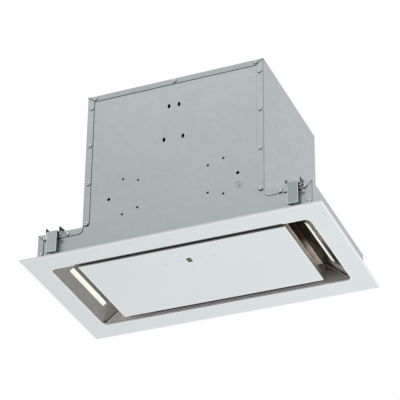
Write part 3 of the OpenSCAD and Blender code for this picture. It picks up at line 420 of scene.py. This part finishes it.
def circuit_board(name):
    """Green mask with copper tracks under it and pale pads."""
    p = Paint(name, (0.03, 0.20, 0.10), 0.35, Coat_Weight=0.3)
    tracks = p.add("ShaderNodeTexBrick")
    tracks.inputs["Scale"].default_value = 160.0
    tracks.inputs["Color1"].default_value = (0.02, 0.17, 0.08, 1)
    tracks.inputs["Color2"].default_value = (0.03, 0.22, 0.11, 1)
    tracks.inputs["Mortar"].default_value = (0.05, 0.30, 0.15, 1)
    tracks.inputs["Mortar Size"].default_value = 0.03
    p.link(p.place((1, 1, 1), (0.6, 0.6, 0.0)), tracks.inputs["Vector"])
    pads = p.fade(p.cells(420.0, "Distance"), 0.16, 0.20)
    p.base(p.mix(pads, tracks.outputs["Color"], (0.62, 0.60, 0.50)))
    p.bump(tracks.outputs["Fac"], 0.00005)
    return p.mat


def smoked_window(name):
    p = Paint(name, (0.012, 0.014, 0.012), 0.12, Specular_IOR_Level=0.12, IOR=1.5)
    cloud = p.ramp(p.noise(300.0, 2.0), *NOISE)
    p.base(p.mix(cloud, (0.008, 0.010, 0.008), (0.020, 0.024, 0.018)))
    p.rough(p.ramp(p.noise(120.0, 4.0), *NOISE, 0.05, 0.16))
    return p.mat


def ring_print(name):
    p = Paint(name, (0.48, 0.51, 0.53), 0.3)
    cloud = p.ramp(p.noise(900.0, 2.0), *NOISE)
    p.base(p.mix(cloud, (0.44, 0.47, 0.49), (0.54, 0.57, 0.59)))
    return p.mat


def glowing(name, color, strength):
    """Figures of the display, lit or not."""
    p = Paint(name, color, 0.35)
    p.base(p.mix(p.ramp(p.noise(900.0, 2.0), *NOISE), p.own(0.8), color))
    p.shader.inputs["Emission Color"].default_value = (*color, 1.0)
    p.shader.inputs["Emission Strength"].default_value = strength
    return p.mat


# Each finish is the function that makes it and what that takes after the name. Sheet and
# brushed steel: colour, axes of the lines, roughness, metal, contrast and painted light and
# shade.
# Moulded: colour, roughness, grain, its depth, metal, darkest tone and spread of roughness.
FINISHES = {
    "white_glass": (back_painted_glass, ((0.2605, 0.1485, 0.0), (0.2255, 0.106, 0.010))),
    "panel_white": (back_painted_glass, ((0.1805, 0.093, 0.0),), True),
    "backing_steel": (galvanised, (0.26, 0.25, 0.24), "X", 0.5, 0.8),
    "galvanised_sheet": (galvanised, (0.370, 0.409, 0.418), "X", 0.34, 0.9, 0.035, bend_and_clip_painted_light),
    # a darker copy of the sheet: painted shade on the casing's top
    "top_sheet": (galvanised, (0.322, 0.356, 0.364), "X", 0.34),
    "bracket_steel": (galvanised, (0.42, 0.42, 0.41), "Z", 0.4),
    "casing_screw": (galvanised, (0.68, 0.70, 0.70), "X", 0.3, 0.95, 0.03, screw_painted_shade),
    "clip_steel": (galvanised, (0.37, 0.41, 0.41), "Z", 0.36, 0.92, 0.03, clip_painted_light),
    "brushed_stainless": (brushed, (0.36, 0.325, 0.295), "Y", 0.36, 0.88),
    # lit and shaded copies of one steel: painted light on the left slope, painted shade on the
    # right
    "slope_steel": (brushed, (0.46, 0.435, 0.395), "XZ", 0.24, 1.0, 0.10, left_slope_painted_shade),
    "slope_steel_right": (brushed, (0.175, 0.122, 0.078), "XZ", 0.24, 1.0, 0.10,
                          right_slope_painted_light),
    # lighter copies of the funnel's steel: painted light on the long walls and the filter
    # frame
    "wall_steel": (brushed, (0.78, 0.74, 0.72), "X", 0.40, 0.30, 0.08, wall_painted_shade),
    "filter_steel": (brushed, (0.66, 0.49, 0.38), "Y", 0.36, 0.50, 0.12, filter_painted_light),
    "tray_steel": (brushed, (0.44, 0.40, 0.36), "Y", 0.36, 0.85, 0.12, tray_painted_light),
    "joint_lip": (brushed, (0.86, 0.84, 0.82), "X", 0.35, 0.4, 0.06),
    "screw_steel": (brushed, (0.62, 0.62, 0.60), "X", 0.25, 1.0, 0.1),
    "mesh_aluminium": (brushed, (0.50, 0.49, 0.47), "X", 0.35, 1.0, 0.12),
    "spring_steel": (brushed, (0.20, 0.20, 0.205), "X", 0.35, 1.0, 0.15),
    "clip_pin": (brushed, (0.035, 0.036, 0.038), "X", 0.4, 0.6, 0.15),
    "motor_steel": (moulded, (0.16, 0.165, 0.17), 0.42, 900.0, 0.00003, 0.7, 0.7),
    "magnet": (moulded, (0.07, 0.07, 0.08), 0.62, 700.0, 0.00006, 0.3, 0.7, 0.1),
    "catch_plastic": (moulded, (0.030, 0.030, 0.032), 0.45),
    "blower_plastic": (moulded, (0.05, 0.052, 0.056), 0.5),
    "capacitor_can": (moulded, (0.80, 0.80, 0.77), 0.35),
    "spigot_plastic": (moulded, (0.035, 0.036, 0.039), 0.42, 1100.0, 0.00004),
    "box_plastic": (moulded, (0.74, 0.74, 0.71), 0.45),
    "gland_plastic": (moulded, (0.05, 0.05, 0.054), 0.4),
    # dark strips laid in seams and joints as painted shadow
    "seam_mastic": (moulded, (0.030, 0.034, 0.036), 0.6, 700.0),
    "digit_lit": (glowing, (0.50, 0.58, 0.10), 0.25),
    "digit_unlit": (glowing, (0.10, 0.10, 0.08), 0.0),
    "diffuser": (diffuser,),
    "circuit_board": (circuit_board,),
    "display_glass": (smoked_window,),
    "ring_print": (ring_print,),
}
M = {name: make(name, *values) for name, (make, *values) in FINISHES.items()}

FINISH_OF = {s["node"]: s["material_slot"] for s in frame["record"]["subparts"]}
# Nodes that look unlike the rest of their slot
FINISH_OF.update({
    "casing_screws_front": "casing_screw", "casing_screws_rear": "casing_screw",
    "clip_pins": "clip_pin", "panel_glass": "panel_white", "top_panel": "top_sheet",
    "light_plate_left": "slope_steel", "light_plate_right": "slope_steel_right",
    "funnel_wall_front": "wall_steel", "funnel_wall_rear": "wall_steel",
    "filter_frame": "filter_steel", "panel_tray": "tray_steel",
})
for node, finish in FINISH_OF.items():
    NODES[node].data.materials.clear()
    NODES[node].data.materials.append(M[finish])


# Pieces

def add_object(name, data):
    obj = bpy.data.objects.new(name, data)
    bpy.context.scene.collection.objects.link(obj)
    return obj


def piece(name, bm, slot, body, finish=None):
    """A finished mesh on a body, in its slot's material or in a finish of its own."""
    bmesh.ops.recalc_face_normals(bm, faces=bm.faces)
    mesh = bpy.data.meshes.new(name)
    bm.to_mesh(mesh)
    bm.free()
    mesh.materials.append(M[finish or slot])
    obj = add_object(name, mesh)
    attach(obj, body)
    return obj


def hexa(bm, corners):
    """Solid with six faces: four corners of one end, then the four of the other end."""
    v = [bm.verts.new(Vector(c) * MM) for c in corners]
    for f in ((0, 1, 2, 3), (7, 6, 5, 4), (0, 4, 5, 1), (1, 5, 6, 2), (2, 6, 7, 3),
              (3, 7, 4, 0)):
        bm.faces.new([v[i] for i in f])


def brick(bm, low, high):
    (a, b, c), (d, e, f) = low, high
    hexa(bm, [(x, y, z) for z in (c, f) for x, y in ((a, b), (d, b), (d, e), (a, e))])


def arc(cx, cy, radius, start, end, steps=8):
    turns = [math.radians(start + (end - start) * i / steps) for i in range(steps + 1)]
    return [(cx + radius * math.cos(t), cy + radius * math.sin(t)) for t in turns]


def sheet_edge():
    """Outline of the bare front sheet, inside the folded flanges: x and z."""
    right = [(229.0, 5.0), (229.0, 44.0)] + arc(167.5, 54.0, 10.0, 270.0, 205.8)
    right += [(158.5, 57.0)] + arc(151.5, 61.0, 4.0, 270.0, 180.0) + [(147.5, 301.0)]
    return right + [(-x, z) for x, z in reversed(right)]


def bead(bm, path, broad, proud, side):
    """Small dark fillet on the left of a path, a painted shadow, half as wide on the
    hood's right.
    """
    rings = []
    for i, (x, z) in enumerate(path):
        here = Vector((x, z))
        a = here - Vector(path[max(i - 1, 0)])
        b = Vector(path[min(i + 1, len(path) - 1)]) - here
        a, b = (a if a.length else b).normalized(), (b if b.length else a).normalized()
        left = Vector((-a.y - b.y, a.x + b.x)).normalized()
        left = left / max(0.5, left.dot(Vector((-a.y, a.x))))
        wide = broad * (0.5 if x > 0 else 1.0)
        section = [(0.0, 0.0), (0.0, proud), (0.55 * wide, 0.75 * proud), (wide, 0.0)]
        rings.append([bm.verts.new(Vector((x + left.x * u, side * (SHEET_Y + h),
                                           z + left.y * u)) * MM) for u, h in section])
    for p, q in zip(rings, rings[1:]):
        for k in range(4):
            bm.faces.new((p[k], p[(k + 1) % 4], q[(k + 1) % 4], q[k]))
    bm.faces.new(rings[0])
    bm.faces.new(rings[-1])


def mitre(bm, inner, outer, half_in, half_out, side):
    """Dark strip as painted shadow in the joint between two flanges that meet at a slant."""
    a, b = Vector(inner), Vector(outer)
    n = Vector((-(b - a).y, (b - a).x)).normalized()
    flat = [a + n * half_in, b + n * half_out, b - n * half_out, a - n * half_in]
    hexa(bm, [(p.x, side * (SHEET_Y + h), p.y) for h in (0.3, 1.1) for p in flat])


def seams():
    """Painted shadow: dark strips round the bare sheets and in the flanges' slanting joints.
    """
    for name, side in (("seam_mastic_front", -1.0), ("seam_mastic_rear", 1.0)):
        bm = bmesh.new()
        bead(bm, sheet_edge(), 0.8, 0.9, side)
        # at the top of the casing, then at its shoulder: inner and outer end, half widths
        for s in SIDES:
            mitre(bm, (s * 147.5, 300.8), (s * 159.2, 311.5), 0.35, 0.7, side)
            mitre(bm, (s * 229.0, 44.2), (s * 239.2, 55.4), 0.35, 0.6, side)
        piece(name, bm, "gland_plastic", "hood", "seam_mastic")


def funnel_corners():
    """Open joint, a dark strip of painted shade, and folded lip where each slope meets the
    long walls.
    """
    behind = Vector((SLOPE_RISE, 0.0, SLOPE_FOOT - SLOPE_TOP)).normalized()
    ends = (Vector((SLOPE_FOOT - 1.0, 0, SLOPE_LOW)),
            Vector((SLOPE_TOP + 0.5, 0, SLOPE_LOW + SLOPE_RISE - 0.4)))
    # the joint goes through the slope's face, the lip lies just below the joint on the wall
    joint = [(p - behind * 0.25, p + behind * 0.3) for p in ends]
    lip = [(p - Vector((0, 0, 2.0)), p - Vector((0, 0, 1.0))) for p in ends]
    for name, slot, finish, edges, near, far in (
            ("funnel_joints", "gland_plastic", "seam_mastic", joint, WALL_Y - 1.5, WALL_Y),
            ("funnel_lips", "brushed_stainless", "joint_lip", lip, WALL_Y - 0.7,
             WALL_Y + 0.25)):
        bm = bmesh.new()
        for sx in SIDES:
            for sy in SIDES:
                hexa(bm, [(sx * q.x, sy * y, q.z) for a, b in edges
                          for y, q in ((near, a), (far, a), (far, b), (near, b))])
        piece(name, bm, slot, "hood", finish)


def lenses():
    """Milky lenses with a thin lip that laps the sloping plate, mostly on its lower side."""
    foot = Vector((SLOPE_FOOT, 0.0, SLOPE_LOW))
    # lip, body and flange behind the plate: centre up the slope, width, length, corner
    # radius, and depth from the plate's face
    layers = ((23.48, 7.9, 132.0, 1.7, 0.02, 0.30), (24.2, 7.3, 131.4, 1.45, -1.0, 0.02),
              (24.2, 11.2, 135.3, 3.3, -2.2, -1.0))
    for name, node, side in (("lens_left", "led_lens_left", -1.0),
                             ("lens_right", "led_lens_right", 1.0)):
        bm = bmesh.new()
        for up, wide, long, radius, low, high in layers:
            flat = []
            for cu, cv, start in ((1, 1, 0), (-1, 1, 90), (-1, -1, 180), (1, -1, 270)):
                flat += arc(up + cu * (wide / 2 - radius), cv * (long / 2 - radius), radius,
                            start, start + 90, 5)
            rings = []
            for depth in (low, high):
                spots = [foot + SLOPE_ALONG * u + SLOPE_OUT * depth + Vector((0, v, 0))
                         for u, v in flat]
                rings.append([bm.verts.new(Vector((side * q.x, q.y, q.z)) * MM)
                              for q in spots])
            bm.faces.new(rings[0])
            bm.faces.new(rings[1][::-1])
            for i, (a, b) in enumerate(zip(*rings)):
                j = (i + 1) % len(flat)
                bm.faces.new((a, b, rings[1][j], rings[0][j]))
        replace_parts(piece(name, bm, "diffuser", "hood"), node)


def strand(bm, run):
    """Joins the rings of a strand and closes its ends. One ring alone is no strand."""
    if len(run) == 1:
        for vert in run[0]:
            bm.verts.remove(vert)
    if len(run) < 2:
        return
    for p, q in zip(run, run[1:]):
        for k in range(4):
            bm.faces.new((p[k], p[(k + 1) % 4], q[(k + 1) % 4], q[k]))
    bm.faces.new(run[0])
    bm.faces.new(run[-1])


def expanded_mesh():
    """The filter's expanded aluminium in its edge bars, clear of the latch's whole travel."""
    half_x, half_y, bar_low, bar_high = 177.9, 105.1, 42.6, 47.4
    # half a diamond's length and width, and half a strand's width and its levels
    step, swing, thick, low, high = 5.5, 2.5, 0.55, 44.4, 45.6
    columns, rows, row_gap = 65, 41, 5.0
    bar = 2.4
    notch_x, notch_y = 18.3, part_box("filter_latch")[1][1] / MM + 6.6
    bm = bmesh.new()
    for j in range(rows):
        run = []
        for i in range(columns):
            x = step * (i - columns // 2)
            up = 1.0 if i % 2 == j % 2 else -1.0
            y = row_gap * (j - rows // 2) + up * swing
            if abs(x) < notch_x + bar and y < notch_y + 1.2:
                strand(bm, run)
                run = []
            else:
                run.append([bm.verts.new(Vector((x, y + h, z)) * MM) for h, z in
                            ((-thick, low), (thick, low), (thick, high), (-thick, high))])
        strand(bm, run)
    # bars of each side: the outer end, beside the notch, and in front of the mesh
    for side in SIDES:
        for near, far, rear in ((175.4, half_x, half_y),
                                (notch_x, notch_x + bar, notch_y + bar),
                                (notch_x, 175.6, -102.3)):
            a, b = sorted((side * near, side * far))
            brick(bm, (a, -half_y, bar_low), (b, rear, bar_high))
    brick(bm, (-notch_x, notch_y, bar_low), (notch_x, notch_y + bar, bar_high))
    brick(bm, (-175.6, 102.3, bar_low), (175.6, half_y, bar_high))
    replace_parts(piece("expanded_mesh", bm, "mesh_aluminium", "hood"), "filter_mesh")


def display():
    """Two figures of seven bars on the window's face, three of the bars unlit."""
    middle_x, middle_y, low, high = -0.8, -50.0, 2.22, 2.31
    across, upright = (0.62, 0.2), (0.2, 0.82)
    bars = {"a": (0, 2.2, across), "b": (0.8, 1.1, upright), "c": (0.8, -1.1, upright),
            "d": (0, -2.2, across), "e": (-0.8, -1.1, upright), "f": (-0.8, 1.1, upright),
            "g": (0, 0, across)}
    for name, figures, finish in (
            ("display_digits", {-1.6: "abged", 1.6: "abcdef"}, "digit_lit"),
            ("display_digits_unlit", {-1.6: "cf", 1.6: "g"}, "digit_unlit")):
        bm = bmesh.new()
        for shift, letters in figures.items():
            for letter in letters:
                x, y, (w, h) = bars[letter]
                x, y = middle_x + shift + x, middle_y + y
                brick(bm, (x - w, y - h, low), (x + w, y + h, high))
        piece(name, bm, "display_glass", "panel", finish)


def arrises():
    """Ground edges of the two glasses and soft edges of the folded steel."""
    for node, wide, segments in (("glass_frame", 0.0007, 1), ("panel_glass", 0.0006, 1),
                                 ("panel_tray", 0.0002, 2)):
        bevel = NODES[node].modifiers.new("arris", "BEVEL")
        bevel.width = wide
        bevel.segments = segments
        bevel.limit_method = "ANGLE"
        bevel.angle_limit = math.radians(50.0)


seams()
funnel_corners()
lenses()
expanded_mesh()
display()
arrises()


# Stage, light and camera

def backdrop():
    """Even light on the object, and plain white for the camera, in gloss and through glass."""
    world = bpy.data.worlds.new("studio")
    bpy.context.scene.world = world
    world.use_nodes = True
    nodes, links = world.node_tree.nodes, world.node_tree.links
    nodes.clear()
    path = nodes.new("ShaderNodeLightPath")
    seen = path.outputs["Is Camera Ray"]
    for ray in ("Is Transmission Ray", "Is Glossy Ray"):
        either = nodes.new("ShaderNodeMath")
        either.operation = "MAXIMUM"
        links.new(seen, either.inputs[0])
        links.new(path.outputs[ray], either.inputs[1])
        seen = either.outputs[0]
    mix = nodes.new("ShaderNodeMixShader")
    links.new(seen, mix.inputs[0])
    for socket, color, strength in ((1, (0.97, 0.99, 1.0, 1), 0.55), (2, (1, 1, 1, 1), 1.0)):
        light = nodes.new("ShaderNodeBackground")
        light.inputs["Color"].default_value = color
        light.inputs["Strength"].default_value = strength
        links.new(light.outputs[0], mix.inputs[socket])
    links.new(mix.outputs[0], nodes.new("ShaderNodeOutputWorld").inputs["Surface"])


def floor():
    half, level = 8, -3.3
    corners = [(x * half, y * half, level) for x, y in ((-1, -1), (1, -1), (1, 1), (-1, 1))]
    mesh = bpy.data.meshes.new("floor")
    mesh.from_pydata(corners, [], [(0, 1, 2, 3)])
    obj = add_object("floor", mesh)
    p = Paint("floor", (0.86, 0.86, 0.86), 0.8)
    p.base(p.mix(p.ramp(p.noise(3.0), *NOISE), (0.85, 0.85, 0.85), (0.88, 0.88, 0.88)))
    mesh.materials.append(p.mat)


def area_light(name, shape, size, power, color):
    data = bpy.data.lights.new(name, "AREA")
    data.shape = shape
    data.size = size
    data.energy = power
    data.color = color
    return add_object(name, data)


def lamp(name, place, aim, size, power, color=(1, 1, 1)):
    """Round soft light of the studio. Place and size are in metres, power in watts."""
    obj = area_light(name, "DISK", size, power, color)
    obj.location = place
    obj.rotation_euler = (Vector(aim) - Vector(place)).to_track_quat("-Z", "Y").to_euler()


def strip_light(name, side):
    """The light that a strip throws into the intake, hidden from the camera."""
    place, aim = Vector((side * 0.2035, 0.0, 0.0185)), Vector((side * 0.17, 0.0, 0.022))
    obj = area_light(name, "RECTANGLE", 0.006, 0.014, (1.0, 0.99, 0.94))
    obj.data.size_y = 0.131
    back, up = (place - aim).normalized(), Vector((0, 1, 0))
    turn = Matrix((up.cross(back), up, back)).transposed().to_4x4()
    obj.matrix_world = Matrix.Translation(place) @ turn
    obj.visible_camera = False


def camera():
    """The camera that was fitted to the straight edges in the photograph."""
    az, el, roll = (math.radians(a) for a in (22.639, -31.273, 0.612))
    distance, right_by, up_by, lift = 3.128, -0.00262, 0.12195, 0.002
    sensor, focal, frame_width = 36.0, 1897.4, 400.0
    back = Vector((math.sin(az) * math.cos(el), -math.cos(az) * math.cos(el), math.sin(el)))
    side = Vector((math.cos(az), math.sin(az), 0.0))
    up = back.cross(side)
    right = side * math.cos(roll) + up * math.sin(roll)
    top = up * math.cos(roll) - side * math.sin(roll)
    data = bpy.data.cameras.new("camera")
    data.sensor_width = sensor
    data.lens = sensor * focal / frame_width
    data.clip_end = 50.0
    obj = add_object("camera", data)
    place = back * distance + right * right_by + top * up_by + Vector((0, 0, lift))
    turn = Matrix((right, top, back)).transposed().to_4x4()
    obj.matrix_world = Matrix.Translation(place) @ turn
    bpy.context.scene.camera = obj


backdrop()
floor()
strip_light("led_left", -1.0)
strip_light("led_right", 1.0)
lamp("key", (-0.6, -1.5, 2.35), (-0.05, -0.1, 0.2), 2.2, 6.9, (1.0, 0.97, 0.95))
lamp("rear", (1.1, 2.2, 1.7), (0.15, 0, 0.2), 1.4, 0.5)
lamp("below", (0.9, 0.2, -2.3), (0, 0, 0.0), 1.8, 33.0)
camera()
bpy.context.scene.view_settings.view_transform = "Standard"
